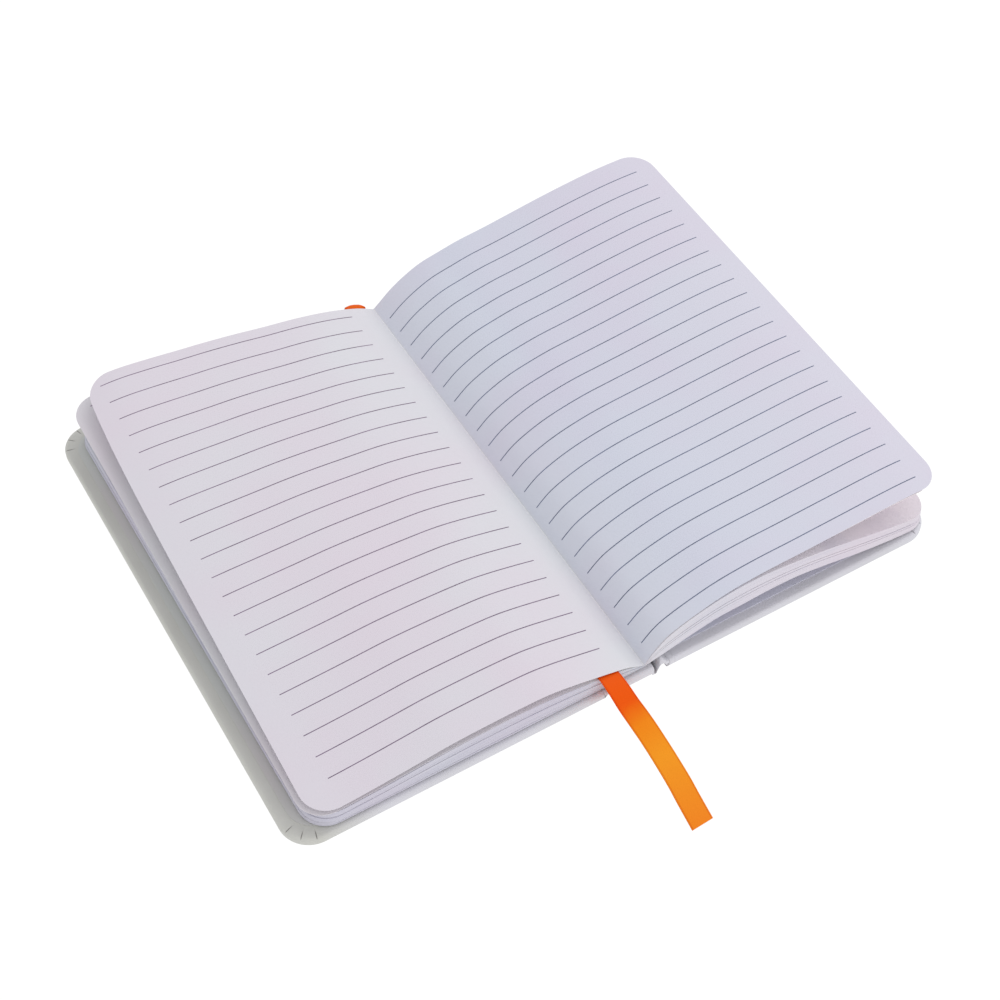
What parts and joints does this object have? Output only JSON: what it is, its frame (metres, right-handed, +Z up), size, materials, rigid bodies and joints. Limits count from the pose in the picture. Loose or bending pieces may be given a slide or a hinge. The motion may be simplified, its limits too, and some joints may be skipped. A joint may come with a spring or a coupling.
{
  "type": "notebook",
  "caption": "Open pocket notebook with a white wrapped hard cover, rounded corners, lined leaves and an orange ribbon marker",
  "frame": {"origin": "on the table, under the middle of the open cover", "axes": "+X to the right page's fore edge, along the width of the open book; +Y to the head of the pages; +Z up from the table"},
  "size_m": [0.1858, 0.1797, 0.0251],
  "materials": {
    "greyboard": "matt greyboard",
    "cover_wrap": "white coated, fine grain, low sheen",
    "endpaper": "matt paper",
    "leaf_paper": "smooth white writing paper",
    "ribbon_satin": "orange satin ribbon"
  },
  "bodies": {
    "book_block": {"text_block": "leaf_paper", "spine_strip": "greyboard", "spine_wrap": "cover_wrap", "spine_lining": "endpaper", "ribbon": "ribbon_satin"},
    "front_cover": {"front_board": "greyboard", "front_wrap": "cover_wrap", "front_pastedown": "endpaper"},
    "back_cover": {"back_board": "greyboard", "back_wrap": "cover_wrap", "back_pastedown": "endpaper"}
  },
  "joints": [
    {"name": "front_joint", "type": "hinge", "parent": "book_block", "child": "front_cover", "pos_m": [-0.007, 0, 0], "axis": [0, -1, 0], "range_deg": [0, 90]},
    {"name": "back_joint", "type": "hinge", "parent": "book_block", "child": "back_cover", "pos_m": [0.007, 0, 0], "axis": [0, 1, 0], "range_deg": [0, 90]}
  ]
}
